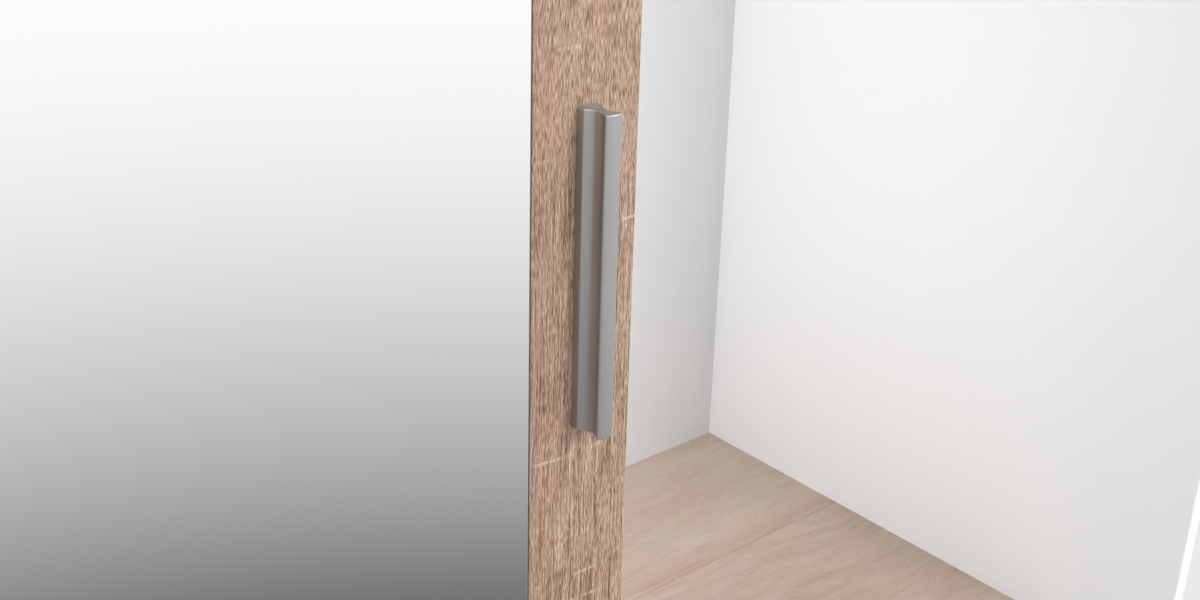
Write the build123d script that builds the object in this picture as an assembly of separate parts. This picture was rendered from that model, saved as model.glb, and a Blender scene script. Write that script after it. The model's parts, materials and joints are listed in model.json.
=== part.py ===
from build123d import *
import os

# Sliding door wardrobe: a flat-pack carcass with two mirrored doors on a double track.
# Millimetres. X runs to the right, Y from the front to the back, Z up.
# The origin is on the floor, in the middle of the overall outline.

# Overall sizes
width = 1500.0              # over the side panels
height = 2000.0             # floor to the upper face of the top panel
depth = 600.0               # front edges of the side panels to the rear of the back panels

# Boards
board = 16.0                # carcass and shelf boards
back_board = 3.0
edge_round = 1.0            # rounding of the banded edges that a hand meets
small_break = 1.0           # broken edges of dowels, guides, glides and screw heads
fine_break = 0.5            # broken edges of the axles
glide_height = 5.0
plinth_height = 55.0
front_plinth_recess = 20.0
rear_plinth_recess = 24.0
interior_gap = 13.0         # partition and shelves behind the rear door's rollers
back_panel_inset = 8.0      # back panels inside the outline of the carcass
back_panel_joint = 1.0      # gap between the two back panels

# Interior
lower_shelf_top = 446.0
hat_space = 294.0           # clear height above the hat shelf
left_shelf_count = 5
pin_row_inset = 37.0        # rows of pin holes, from the front and rear edges of a shelf
pin_hole_pitch = 32.0
pin_holes_per_shelf = 3
pin_radius = 2.5
pin_collar_radius = 4.0
pin_collar = 1.5
pin_depth = 8.0
pin_reach = 8.0

# Hanging rail
rail_radius = 12.5
rail_wall = 1.2
rail_drop = 60.0            # rail axis below the hat shelf
socket_flange = 3.0
socket_flange_width = 32.0
socket_flange_height = 64.0
socket_cup_wall = 3.0
socket_cup_reach = 12.0
socket_screw_spacing = 46.0

# Doors
door_board = 16.0
door_overlap = 44.0         # of the closed doors
door_recess = 12.0          # face of the front door behind the side panels' front edges
pass_gap = 6.6              # rear door's handle behind the front door
door_track_gap = 2.2        # doors above the base of the bottom track
door_top_gap = 9.0          # door below the top panel
open_door_gap = 48.0        # how far the open right door stands short of its stop
stop_gap = 0.3              # between a closed door and its bumpers
bumper_height = 5.7
bumper_radius = 7.0
bumper_round = 1.9
bumper_inset = 150.0        # bumpers from the door's upper and lower ends

# Mirrors
mirror_border = 70.0        # bare board left around the mirror
mirror_glass = 3.0
mirror_arris = 0.7
tape_thickness = 1.0
tape_width = 20.0
tape_count = 4
tape_inset = 40.0           # outer strips and strip ends inside the mirror

# Handles: an extruded bar with a finger groove along each side
handle_length = 174.0
handle_height = 21.4        # door's face to the middle of the crowned flange
handle_base = 12.0
handle_flange = 11.2
handle_crown = 1.4          # rise of the flange's face from its edges to its middle
handle_shoulder = 3.0       # rounding from the base into the grooves
handle_flange_edge = 1.5    # flange above the crest of the grooves
handle_crest = 1.0          # rounding along the flange's two edges
handle_end_break = 0.8      # chamfer round both ends
groove_radius = 6.8
handle_waist = 2.4          # left between the two grooves
handle_inset = 34.0         # handle's middle line from the door's edge
handle_centre = 1025.5      # above the floor
handle_screw_spacing = 160.0
handle_screw_radius = 2.0
handle_screw_bite = 6.0
handle_screw_head_radius = 4.0
handle_screw_head = 2.5

# Rollers
wheel_radius = 12.5
wheel_width = 7.0
wheel_groove_depth = 2.5
wheel_groove_radius = 2.0
wheel_hub_radius = 5.0
wheel_rim = 2.4             # rim left under the groove
wheel_web = 3.0
axle_radius = 2.5
axle_fit = 0.02             # axle in its housing
wheel_fit = 0.05            # wheel on its axle
wheel_rail_gap = 0.3
housing_wall = 3.5          # cheeks on both sides of the wheel
wheel_side_gap = 0.5
wheel_rim_gap = 1.5         # between the rim and its pocket
housing_side_wall = 3.0
housing_lip = 7.0           # cheeks reach this far below the axle
housing_height = 45.0
housing_corner = 6.0
ear_length = 21.0
ear_height = 26.0
ear_thickness = 5.0
ear_lift = 6.0              # lower edge of the ears above the axle
ear_slot = 5.0              # height adjustment in the ears' screw slots
rib_thickness = 2.0         # stiffening ribs between the ears and the body
rib_length = 13.0
rib_rise = 8.0
rib_inset = 1.5             # ribs from the ears' upper and lower edges
roller_inset = 75.0         # axles from the door's edges

# Top guides
guide_length = 44.0
guide_plate = 4.0
guide_plate_height = 34.0
guide_head = 7.0
guide_screw_drop = 27.0     # screws below the guide's head
guide_screw_spacing = 22.0
guide_fin = 7.0
guide_fin_length = 36.0
guide_head_gap = 1.5        # guide's head below the channel walls
guide_inset = 75.0
lift_gap = 8.0              # room above the fin for lifting the door in

# Tracks
rail_rib = 2.6
rail_rib_height = 9.0
bottom_track_base = 1.8
bottom_track_edge = 6.0     # base beyond the ribs
track_lip = 1.5
track_lip_height = 3.0
top_track_wall = 1.5
channel_width = 9.0
channel_depth = 16.0
track_screw_count = 5
track_screw_inset = 60.0

# Screws
screw_radius = 1.75
screw_head_radius = 3.4
screw_head_cone = 1.7
screw_length = 13.0
screw_fit = 0.05

# Cam fittings and dowels
cam_radius = 7.5
cam_below_bolt = 4.5
cam_setback = 34.0
cam_slot_width = 1.6
cam_slot_length = 9.0
cam_slot_depth = 2.5
cam_inset = 60.0            # fittings from the front and rear of a joint
bolt_thread_radius = 2.5
bolt_thread = 11.0
bolt_shank_radius = 3.2
bolt_neck_radius = 2.0
bolt_neck = 6.0
bolt_head = 4.0
bolt_hole_radius = 4.0
fitting_gap = 0.3
fitting_fit = 0.05
dowel_radius = 4.0
dowel_in_edge = 20.0
dowel_in_face = 10.0
dowel_inset = 120.0
plinth_dowel_count = 3
plinth_dowel_inset = 360.0  # outer dowels from the ends of a plinth

# Glides
glide_length = 40.0
glide_width = 12.0
glide_nail_radius = 1.5
glide_nail = 12.0
glide_inset = 70.0
plinth_glide_offset = 245.0  # glides under the plinths, from the middle

# Wall brackets
bracket_thickness = 2.0
bracket_width = 44.0
bracket_base = 42.0
bracket_rise = 38.0
bracket_bend = 3.0
bracket_corner = 6.0
bracket_hole_radius = 3.0
bracket_hole_height = 22.0  # wall hole above the top panel
bracket_offset = 550.0      # from the middle of the wardrobe
bracket_screw_spacing = 24.0
bracket_screw_setback = 22.0

# Where the boards lie
inner_half = width / 2 - board
track_pitch = door_board + handle_height + pass_gap
housing_thickness = wheel_width + 2 * wheel_side_gap + 2 * housing_wall
interior_recess = door_recess + track_pitch + door_board + housing_thickness + interior_gap
handle_front = door_recess - handle_height
groove_centre_height = handle_height - handle_crown - handle_flange_edge - groove_radius
front_y = -(depth + min(handle_front, 0.0)) / 2
back_y = front_y + depth
rear_edge_y = back_y - back_board
interior_y = front_y + interior_recess
bottom_top = glide_height + plinth_height + board
bottom_under = glide_height + plinth_height
top_under = height - board
partition_half = board / 2
right_bay = (partition_half, inner_half)
left_bay = (-inner_half, -partition_half)
front_plinth_y = (front_y + front_plinth_recess, front_y + front_plinth_recess + board)
rear_plinth_y = (back_y - rear_plinth_recess - board, back_y - rear_plinth_recess)
hat_shelf_top = top_under - hat_space
left_shelf_pitch = (top_under - bottom_top) / (left_shelf_count + 1)
loose_shelf_gap = pin_collar + fitting_gap
loose_shelf_rear = rear_edge_y - loose_shelf_gap

# Where the doors lie
door_stop = inner_half - bumper_height - stop_gap
door_width = door_stop + door_overlap / 2
door_bottom = bottom_top + bottom_track_base + door_track_gap
door_top = top_under - door_top_gap
front_door_y = front_y + door_recess
rear_door_y = front_door_y + track_pitch
right_door_x = -door_stop + open_door_gap + door_width / 2
left_door_x = -door_stop + door_width / 2
wheel_plane = door_board + housing_thickness / 2
wheel_centre = bottom_top + rail_rib_height + wheel_rail_gap + wheel_radius - wheel_groove_depth
rail_y = [front_door_y + wheel_plane, rear_door_y + wheel_plane]
channel_under = top_under - top_track_wall - channel_depth
fin_top = top_under - top_track_wall - lift_gap


def block(x, y, z):
    # A box between a low and a high value on each axis
    middle = Pos((x[0] + x[1]) / 2, (y[0] + y[1]) / 2, (z[0] + z[1]) / 2)
    return middle * Box(x[1] - x[0], y[1] - y[0], z[1] - z[0])


def rod(start, direction, length, radius):
    # A cylinder from a start point along a direction
    return extrude(Plane(origin=start, z_dir=direction) * Circle(radius), length)


def turned(points, axis, plane):
    # A solid of revolution from a half outline drawn in a plane
    return revolve(plane * make_face(Polyline(*points, close=True)), axis)


def front_rounded(shape, along):
    # Rounds the two front edges that run along an axis
    edges = shape.edges().filter_by(along).group_by(Axis.Y)[0]
    return fillet(edges, edge_round)


def spread(low, high, count):
    # Evenly spaced places from low to high
    return [low + (high - low) * i / (count - 1) for i in range(count)]


# Carcass boards, before they are drilled
def side_panel(outer, inner):
    x = (min(outer, inner), max(outer, inner))
    return front_rounded(block(x, (front_y, rear_edge_y), (glide_height, top_under)), Axis.Z)


def shelf(bay, rear, top, gap):
    x = (bay[0] + gap, bay[1] - gap)
    return front_rounded(block(x, (interior_y, rear), (top - board, top)), Axis.X)


def back_panel(x):
    low = bottom_under + back_panel_inset
    return block(x, (rear_edge_y, back_y), (low, height - back_panel_inset))


back_edge = width / 2 - back_panel_inset
plinth_z = (glide_height, bottom_under)
boards = {
    "left_side_panel": side_panel(-width / 2, -inner_half),
    "right_side_panel": side_panel(width / 2, inner_half),
    "top_panel": front_rounded(
        block((-width / 2, width / 2), (front_y, rear_edge_y), (top_under, height)), Axis.X
    ),
    "bottom_panel": front_rounded(
        block((-inner_half, inner_half), (front_y, rear_edge_y), (bottom_under, bottom_top)), Axis.X
    ),
    "centre_partition": front_rounded(
        block((-partition_half, partition_half), (interior_y, rear_edge_y), (bottom_top, top_under)),
        Axis.Z,
    ),
    "front_plinth": block((-inner_half, inner_half), front_plinth_y, plinth_z),
    "rear_plinth": block((-inner_half, inner_half), rear_plinth_y, plinth_z),
    "plinth_brace": block(
        (-partition_half, partition_half), (front_plinth_y[1], rear_plinth_y[0]), plinth_z
    ),
    "left_back_panel": back_panel((-back_edge, -back_panel_joint / 2)),
    "right_back_panel": back_panel((back_panel_joint / 2, back_edge)),
    "hat_shelf": shelf(right_bay, rear_edge_y, hat_shelf_top, 0.0),
    "lower_shelf": shelf(right_bay, rear_edge_y, lower_shelf_top, 0.0),
}
left_shelf_tops = [bottom_top + left_shelf_pitch * (i + 1) for i in range(left_shelf_count)]
for number, top in enumerate(left_shelf_tops, 1):
    boards[f"left_shelf_{number}"] = shelf(left_bay, loose_shelf_rear, top, loose_shelf_gap)

drilled = {name: [] for name in boards}
pieces = {}


# Cam fittings, drawn with X from the edge-drilled board into the face-drilled one
# and Z towards the face that the cam is pressed into.
def cam_lock():
    face = board / 2
    body = Pos(-cam_setback, 0, (face - cam_below_bolt) / 2) * Cylinder(cam_radius, face + cam_below_bolt)
    cavity_half = bolt_shank_radius + fitting_gap
    cavity = block(
        (-cam_setback - bolt_head, -cam_setback + cam_radius),
        (-cavity_half, cavity_half),
        (-cavity_half, cavity_half),
    )
    slot = Box(cam_slot_length, cam_slot_width, 2 * cam_slot_depth)
    cross = Pos(-cam_setback, 0, face) * (slot + Rot(0, 0, 90) * slot)
    return body - cavity - cross


def cam_bolt():
    neck_end = -cam_setback + bolt_head / 2
    head_end = -cam_setback - bolt_head / 2
    outline = [
        (bolt_thread, 0),
        (bolt_thread, bolt_thread_radius),
        (0, bolt_thread_radius),
        (0, bolt_shank_radius),
        (neck_end + bolt_neck, bolt_shank_radius),
        (neck_end + bolt_neck, bolt_neck_radius),
        (neck_end, bolt_neck_radius),
        (neck_end, bolt_shank_radius),
        (head_end, bolt_shank_radius),
        (head_end, 0),
    ]
    return turned(outline, Axis.X, Plane.XY)


def cam_bore():
    face = board / 2
    low = -cam_below_bolt - fitting_gap
    bore = Pos(-cam_setback, 0, low) * Cylinder(
        cam_radius + fitting_fit, face - low, align=(Align.CENTER, Align.CENTER, Align.MIN)
    )
    return bore + rod((-cam_setback, 0, 0), (1, 0, 0), cam_setback, bolt_hole_radius)


def bolt_bore():
    return rod((0, 0, 0), (1, 0, 0), bolt_thread + fitting_gap, bolt_thread_radius + fitting_fit)


def dowel():
    pin = rod((-dowel_in_edge, 0, 0), (1, 0, 0), dowel_in_edge + dowel_in_face, dowel_radius)
    return chamfer(pin.edges(), small_break)


def dowel_bore(from_x, to_x):
    return rod((from_x, 0, 0), (1, 0, 0), to_x - from_x, dowel_radius + fitting_fit)


def joint_plane(point, into, cam_face):
    return Location(Plane(origin=point, x_dir=into, z_dir=cam_face))


lock_shape = cam_lock()
bolt_shape = cam_bolt()
cam_bore_shape = cam_bore()
bolt_bore_shape = bolt_bore()
dowel_shape = dowel()
dowel_edge_bore = dowel_bore(-dowel_in_edge - fitting_gap, 0)
dowel_face_bore = dowel_bore(0, dowel_in_face + fitting_gap)
cam_locks = []
cam_bolts = []
dowels = []


def add_cam(edge_board, face_board, place):
    drilled[edge_board].append(place * cam_bore_shape)
    drilled[face_board].append(place * bolt_bore_shape)
    cam_locks.append(place * lock_shape)
    cam_bolts.append(place * bolt_shape)


def add_dowel(edge_board, face_board, place):
    drilled[edge_board].append(place * dowel_edge_bore)
    drilled[face_board].append(place * dowel_face_bore)
    dowels.append(place * dowel_shape)


def add_joint(edge_board, face_board, point, into, cam_face):
    # Two cams and two dowels along the depth of a joint; point gives its X and Z
    for y in (interior_y + cam_inset, rear_edge_y - cam_inset):
        add_cam(edge_board, face_board, joint_plane((point[0], y, point[1]), into, cam_face))
    for y in (interior_y + dowel_inset, rear_edge_y - dowel_inset):
        add_dowel(edge_board, face_board, joint_plane((point[0], y, point[1]), into, cam_face))


right, left, up, down = (1, 0, 0), (-1, 0, 0), (0, 0, 1), (0, 0, -1)
bottom_middle = bottom_top - board / 2
add_joint("bottom_panel", "left_side_panel", (-inner_half, bottom_middle), left, down)
add_joint("bottom_panel", "right_side_panel", (inner_half, bottom_middle), right, down)
for name, top in (("lower_shelf", lower_shelf_top), ("hat_shelf", hat_shelf_top)):
    add_joint(name, "centre_partition", (right_bay[0], top - board / 2), left, down)
    add_joint(name, "right_side_panel", (right_bay[1], top - board / 2), right, down)
add_joint("left_side_panel", "top_panel", (-inner_half - board / 2, top_under), up, right)
add_joint("right_side_panel", "top_panel", (inner_half + board / 2, top_under), up, left)
add_joint("centre_partition", "top_panel", (0, top_under), up, left)
add_joint("centre_partition", "bottom_panel", (0, bottom_top), down, left)

# Plinth boards stand on dowels under the bottom panel and between the side panels
for name, y_pair in (("front_plinth", front_plinth_y), ("rear_plinth", rear_plinth_y)):
    y = sum(y_pair) / 2
    reach = inner_half - plinth_dowel_inset
    for x in spread(-reach, reach, plinth_dowel_count):
        add_dowel(name, "bottom_panel", joint_plane((x, y, bottom_under), up, right))
    middle = sum(plinth_z) / 2
    add_dowel(name, "left_side_panel", joint_plane((-inner_half, y, middle), left, up))
    add_dowel(name, "right_side_panel", joint_plane((inner_half, y, middle), right, up))
brace_y = (front_plinth_y[1] + rear_plinth_y[0]) / 2
add_dowel("plinth_brace", "bottom_panel", joint_plane((0, brace_y, bottom_under), up, right))
pieces["cam_locks"] = Compound(cam_locks)
pieces["cam_bolts"] = Compound(cam_bolts)
pieces["dowels"] = Compound(dowels)


# Loose shelves lie on collared pins in rows of holes
def shelf_pin(into):
    outline = [
        (-pin_depth, 0),
        (-pin_depth, pin_radius),
        (0, pin_radius),
        (0, pin_collar_radius),
        (pin_collar, pin_collar_radius),
        (pin_collar, pin_radius),
        (pin_reach, pin_radius),
        (pin_reach, 0),
    ]
    return Location(Plane(origin=(0, 0, 0), x_dir=into, z_dir=up)) * turned(outline, Axis.X, Plane.XY)


def pin_bore(into):
    away = tuple(-value for value in into)
    return rod((0, 0, 0), away, pin_depth + fitting_gap, pin_radius + fitting_fit)


shelf_pins = []
pin_walls = (("left_side_panel", left_bay[0], right), ("centre_partition", left_bay[1], left))
for wall, x, into in pin_walls:
    pin_shape = shelf_pin(into)
    bore_shape = pin_bore(into)
    for y in (interior_y + pin_row_inset, loose_shelf_rear - pin_row_inset):
        for top in left_shelf_tops:
            seat = top - board - pin_radius
            shelf_pins.append(Pos(x, y, seat) * pin_shape)
            for step in range(pin_holes_per_shelf):
                z = seat + (step - (pin_holes_per_shelf - 1) / 2) * pin_hole_pitch
                drilled[wall].append(Pos(x, y, z) * bore_shape)
pieces["shelf_pins"] = Compound(shelf_pins)


# Countersunk wood screw, drawn with its head at the origin and its shank along +Z
def wood_screw():
    outline = [
        (0, 0),
        (screw_head_radius, 0),
        (screw_radius, screw_head_cone),
        (screw_radius, screw_length - screw_radius),
        (0, screw_length),
    ]
    return turned(outline, Axis.Z, Plane.XZ)


def countersunk_bore():
    # Clears the whole screw, head and shank
    end = screw_length + fitting_gap
    outline = [
        (0, 0),
        (screw_head_radius + screw_fit, 0),
        (screw_radius + screw_fit, screw_head_cone),
        (screw_radius + screw_fit, end),
        (0, end),
    ]
    return turned(outline, Axis.Z, Plane.XZ)


def aimed(point, direction):
    return Location(Plane(origin=point, z_dir=direction))


screw_shape = wood_screw()
screw_bore = countersunk_bore()


# Hanging rail and its open-topped sockets
rail_z = hat_shelf_top - board - rail_drop
rail_axis_y = (interior_y + rear_edge_y) / 2


def rail_socket():
    # Drawn on the YZ plane, with the bay along +X
    flange = extrude(Plane.YZ * RectangleRounded(socket_flange_width, socket_flange_height, housing_corner),
                     socket_flange)
    inner = rail_radius + fitting_gap
    ring = Circle(inner + socket_cup_wall) - Circle(inner)
    mouth = Pos(0, inner + socket_cup_wall) * Rectangle(2 * inner, 2 * (inner + socket_cup_wall))
    cup = extrude(Plane.YZ * (ring - mouth), socket_flange + socket_cup_reach)
    holes = [
        aimed((socket_flange, 0, z), left) * screw_bore
        for z in (-socket_screw_spacing / 2, socket_screw_spacing / 2)
    ]
    return flange + cup - holes


socket_shape = rail_socket()
socket_screws = []
rail_ends = (("left_rail_socket", "centre_partition", right_bay[0], 1),
             ("right_rail_socket", "right_side_panel", right_bay[1], -1))
for name, wall, x, into in rail_ends:
    facing = socket_shape if into > 0 else mirror(socket_shape, Plane.YZ)
    pieces[name] = Pos(x, rail_axis_y, rail_z) * facing
    for z in (rail_z - socket_screw_spacing / 2, rail_z + socket_screw_spacing / 2):
        place = aimed((x + into * socket_flange, rail_axis_y, z), (-into, 0, 0))
        socket_screws.append(place * screw_shape)
        drilled[wall].append(place * screw_bore)
pieces["rail_socket_screws"] = Compound(socket_screws)
rail_span = (right_bay[0] + socket_flange + fitting_gap, right_bay[1] - socket_flange - fitting_gap)
rail_tube = Circle(rail_radius) - Circle(rail_radius - rail_wall)
pieces["hanging_rail"] = Pos(rail_span[0], rail_axis_y, rail_z) * extrude(
    Plane.YZ * rail_tube, rail_span[1] - rail_span[0]
)

# Bottom track: a flat base with an upright rounded rib for each door
base_low = bottom_top
base_high = bottom_top + bottom_track_base
track_edges = (rail_y[0] - bottom_track_edge, rail_y[1] + bottom_track_edge)


def bottom_track_section():
    section = Pos(sum(track_edges) / 2, (base_low + base_high) / 2) * Rectangle(
        track_edges[1] - track_edges[0], bottom_track_base
    )
    rib_straight = rail_rib_height - rail_rib / 2
    for y in rail_y:
        section += Pos(y, base_low + rib_straight / 2) * Rectangle(rail_rib, rib_straight)
        section += Pos(y, base_low + rib_straight) * Circle(rail_rib / 2)
    for y in (track_edges[0] + track_lip / 2, track_edges[1] - track_lip / 2):
        section += Pos(y, base_low + track_lip_height / 2) * Rectangle(track_lip, track_lip_height)
    return section


# Top track: a plate with a downward channel over each rib
def top_track_section():
    outer = channel_width / 2 + top_track_wall
    plate = (rail_y[0] - outer, rail_y[1] + outer)
    section = Pos(sum(plate) / 2, top_under - top_track_wall / 2) * Rectangle(
        plate[1] - plate[0], top_track_wall
    )
    wall_height = top_track_wall + channel_depth
    for y in rail_y:
        for side in (-1, 1):
            wall_y = y + side * (channel_width + top_track_wall) / 2
            section += Pos(wall_y, top_under - wall_height / 2) * Rectangle(top_track_wall, wall_height)
    return section


def along_wardrobe(section):
    return extrude(Plane.YZ * section, inner_half, both=True)


bottom_track = along_wardrobe(bottom_track_section())
top_track = along_wardrobe(top_track_section())
track_screws = []
track_middle = sum(rail_y) / 2
for x in spread(-inner_half + track_screw_inset, inner_half - track_screw_inset, track_screw_count):
    low_place = aimed((x, track_middle, base_high), down)
    high_place = aimed((x, track_middle, top_under - top_track_wall), up)
    bottom_track -= low_place * screw_bore
    top_track -= high_place * screw_bore
    drilled["bottom_panel"].append(low_place * screw_bore)
    drilled["top_panel"].append(high_place * screw_bore)
    track_screws += [low_place * screw_shape, high_place * screw_shape]
pieces["bottom_track"] = bottom_track
pieces["top_track"] = top_track
pieces["track_screws"] = Compound(track_screws)


# Rubber bumpers on the side panels, level with the edges of both doors
def bumper():
    dome = extrude(Circle(bumper_radius), bumper_height)
    return fillet(dome.edges().group_by(Axis.Z)[-1], bumper_round)


bumper_shape = bumper()
bumpers = []
for x, into in ((-inner_half, right), (inner_half, left)):
    for y in (front_door_y + door_board / 2, rear_door_y + door_board / 2):
        for z in (door_bottom + bumper_inset, door_top - bumper_inset):
            bumpers.append(aimed((x, y, z), into) * bumper_shape)
pieces["door_bumpers"] = Compound(bumpers)


# Floor glides with a nail into the board above
def glide(along):
    foot = extrude(SlotOverall(glide_length, glide_width), glide_height)
    foot = chamfer(foot.edges().group_by(Axis.Z)[0], small_break)
    nail = Pos(0, 0, glide_height) * rod((0, 0, 0), up, glide_nail, glide_nail_radius)
    return Rot(0, 0, along) * (foot + nail)


glides = []
glide_places = []
for name, x in (("left_side_panel", -width / 2 + board / 2), ("right_side_panel", width / 2 - board / 2)):
    for y in (front_y + glide_inset, rear_edge_y - glide_inset):
        glide_places.append((name, x, y, 90))
for name, y_pair in (("front_plinth", front_plinth_y), ("rear_plinth", rear_plinth_y)):
    for x in (-plinth_glide_offset, plinth_glide_offset):
        glide_places.append((name, x, sum(y_pair) / 2, 0))
nail_bore = rod((0, 0, glide_height), up, glide_nail + fitting_gap, glide_nail_radius + fitting_fit)
for name, x, y, along in glide_places:
    glides.append(Pos(x, y, 0) * glide(along))
    drilled[name].append(Pos(x, y, 0) * nail_bore)
pieces["glides"] = Compound(glides)


# Folded steel brackets that tie the wardrobe to a wall
def wall_bracket():
    # Section in Y and Z: base on the top panel, upright flush with the back
    outline = Polyline(
        (-bracket_base, 0),
        (0, 0),
        (0, bracket_rise),
        (-bracket_thickness, bracket_rise),
        (-bracket_thickness, bracket_thickness),
        (-bracket_base, bracket_thickness),
        close=True,
    )
    section = make_face(outline)
    outside = section.vertices().sort_by_distance((0, 0))[0]
    section = fillet(outside, bracket_bend + bracket_thickness)
    inside = section.vertices().sort_by_distance((-bracket_thickness, bracket_thickness))[0]
    section = fillet(inside, bracket_bend)
    strip = extrude(Plane.YZ * section, bracket_width / 2, both=True)
    tips = strip.edges().filter_by(Axis.Z).group_by(Axis.Y)[0]
    tips += strip.edges().filter_by(Axis.Y).group_by(Axis.Z)[-1]
    strip = fillet(tips, bracket_corner)
    wall_hole = rod((0, 0, bracket_hole_height), (0, -1, 0), bracket_base, bracket_hole_radius)
    return strip - wall_hole


bracket_shape = wall_bracket()
bracket_screws = []
for name, x in (("left_wall_bracket", -bracket_offset), ("right_wall_bracket", bracket_offset)):
    bracket = Pos(x, back_y, height) * bracket_shape
    for step in (-1, 1):
        screw_x = x + step * bracket_screw_spacing / 2
        place = aimed((screw_x, back_y - bracket_screw_setback, height + bracket_thickness), down)
        bracket -= place * screw_bore
        drilled["top_panel"].append(place * screw_bore)
        bracket_screws.append(place * screw_shape)
    pieces[name] = bracket
pieces["wall_bracket_screws"] = Compound(bracket_screws)


# Doors, drawn closed-side right: X from the door's middle to its handle edge,
# Y from the door's face to its back, Z from the floor.
def handle_section():
    # A base and a crowned flange with a round finger groove cut into both sides
    flange_height = handle_height - groove_centre_height
    crown_radius = (handle_flange ** 2 / (4 * handle_crown) + handle_crown) / 2
    flange = Pos(0, handle_height - flange_height / 2) * Rectangle(handle_flange, flange_height)
    flange &= Pos(0, handle_height - crown_radius) * Circle(crown_radius)
    bar = Pos(0, groove_centre_height / 2) * Rectangle(handle_base, groove_centre_height) + flange
    groove_x = handle_waist / 2 + groove_radius
    for x in (-groove_x, groove_x):
        bar -= Pos(x, groove_centre_height) * Circle(groove_radius)
    shoulders = [v for v in bar.vertices() if 0 < v.Y < groove_centre_height]
    bar = fillet(shoulders, handle_shoulder)
    crests = bar.vertices().group_by(Axis.Y)[-1]
    return fillet(crests, handle_crest)


def door_handle():
    # The bar stands on the door's face, so its section is drawn towards -Y
    section = Rot(180, 0, 0) * handle_section()
    bar = extrude(section, handle_length / 2, both=True)
    ends = bar.faces().filter_by(Axis.Z).edges()
    bar = chamfer(ends, handle_end_break)
    holes = [
        rod((0, 0, z), (0, -1, 0), handle_screw_bite + fitting_gap, handle_screw_radius + fitting_fit)
        for z in (-handle_screw_spacing / 2, handle_screw_spacing / 2)
    ]
    return bar - holes


def handle_screw():
    # Pan head on the back of the door, shank towards the handle
    outline = [
        (0, -handle_screw_head),
        (handle_screw_head_radius - small_break, -handle_screw_head),
        (handle_screw_head_radius, -handle_screw_head + small_break),
        (handle_screw_head_radius, 0),
        (handle_screw_radius, 0),
        (handle_screw_radius, door_board + handle_screw_bite),
        (0, door_board + handle_screw_bite),
    ]
    return turned(outline, Axis.Z, Plane.XZ)


def wheel():
    # Half section: bore, hub, thin web, rim and a round groove for the rib
    bore = axle_radius + wheel_fit
    groove_low = wheel_radius - wheel_groove_depth
    half = wheel_width / 2
    section = Pos((bore + wheel_radius) / 2, 0) * Rectangle(wheel_radius - bore, wheel_width)
    section -= Pos(groove_low + wheel_groove_radius, 0) * Circle(wheel_groove_radius)
    mouth = wheel_radius - groove_low - wheel_groove_radius
    section -= Pos(wheel_radius - mouth / 2, 0) * Rectangle(mouth, 2 * wheel_groove_radius)
    rim_low = groove_low - wheel_rim
    recess_depth = half - wheel_web / 2
    for side in (-1, 1):
        section -= Pos((wheel_hub_radius + rim_low) / 2, side * (half - recess_depth / 2)) * Rectangle(
            rim_low - wheel_hub_radius, recess_depth
        )
    return Rot(90, 0, 0) * revolve(Plane.XZ * section, Axis.Z)


def roller_housing():
    # Axle at the origin, door's back at Y = 0 and the wheel's middle plane half way through
    pocket_radius = wheel_radius + wheel_rim_gap
    half_body = pocket_radius + housing_side_wall
    top = housing_height - housing_lip
    body_outline = Pos(0, (top - housing_lip) / 2) * Rectangle(2 * half_body, housing_height)
    upper = body_outline.vertices().group_by(Axis.Y)[-1]
    body_outline = fillet(upper, housing_corner)
    ears = Pos(0, ear_lift + ear_height / 2) * RectangleRounded(
        2 * (half_body + ear_length), ear_height, housing_corner
    )
    door_plane = Plane(origin=(0, 0, 0), x_dir=right, z_dir=(0, -1, 0))
    shape = extrude(door_plane * body_outline, -housing_thickness)
    shape = fillet(shape.edges().group_by(Axis.Y)[-1], small_break)
    shape += extrude(door_plane * ears, -ear_thickness)
    rib_outline = Polyline(
        (0, ear_thickness),
        (half_body + rib_length, ear_thickness),
        (half_body, ear_thickness + rib_rise),
        (0, ear_thickness + rib_rise),
        close=True,
    )
    rib = extrude(make_face(rib_outline), rib_thickness)
    for low in (ear_lift + rib_inset, ear_lift + ear_height - rib_inset - rib_thickness):
        upright = Pos(0, 0, low) * rib
        shape += [upright, mirror(upright, Plane.YZ)]
    pocket_width = wheel_width + 2 * wheel_side_gap
    pocket = Circle(pocket_radius) + Pos(0, -housing_lip / 2) * Rectangle(2 * pocket_radius, housing_lip)
    shape -= Pos(0, housing_wall, 0) * extrude(door_plane * pocket, -pocket_width)
    shape -= rod((0, 0, 0), (0, 1, 0), housing_thickness, axle_radius + axle_fit)
    for side in (-1, 1):
        slot = Rot(0, 0, 90) * SlotCenterToCenter(ear_slot, 2 * (screw_radius + fitting_gap))
        place = Pos(side * (half_body + ear_length / 2), ear_lift + ear_height / 2)
        shape -= extrude(door_plane * (place * slot), -ear_thickness)
    return shape


def axle():
    pin = rod((0, fitting_gap, 0), (0, 1, 0), housing_thickness - 2 * fitting_gap, axle_radius)
    return chamfer(pin.edges().filter_by(GeomType.CIRCLE), fine_break)


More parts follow.
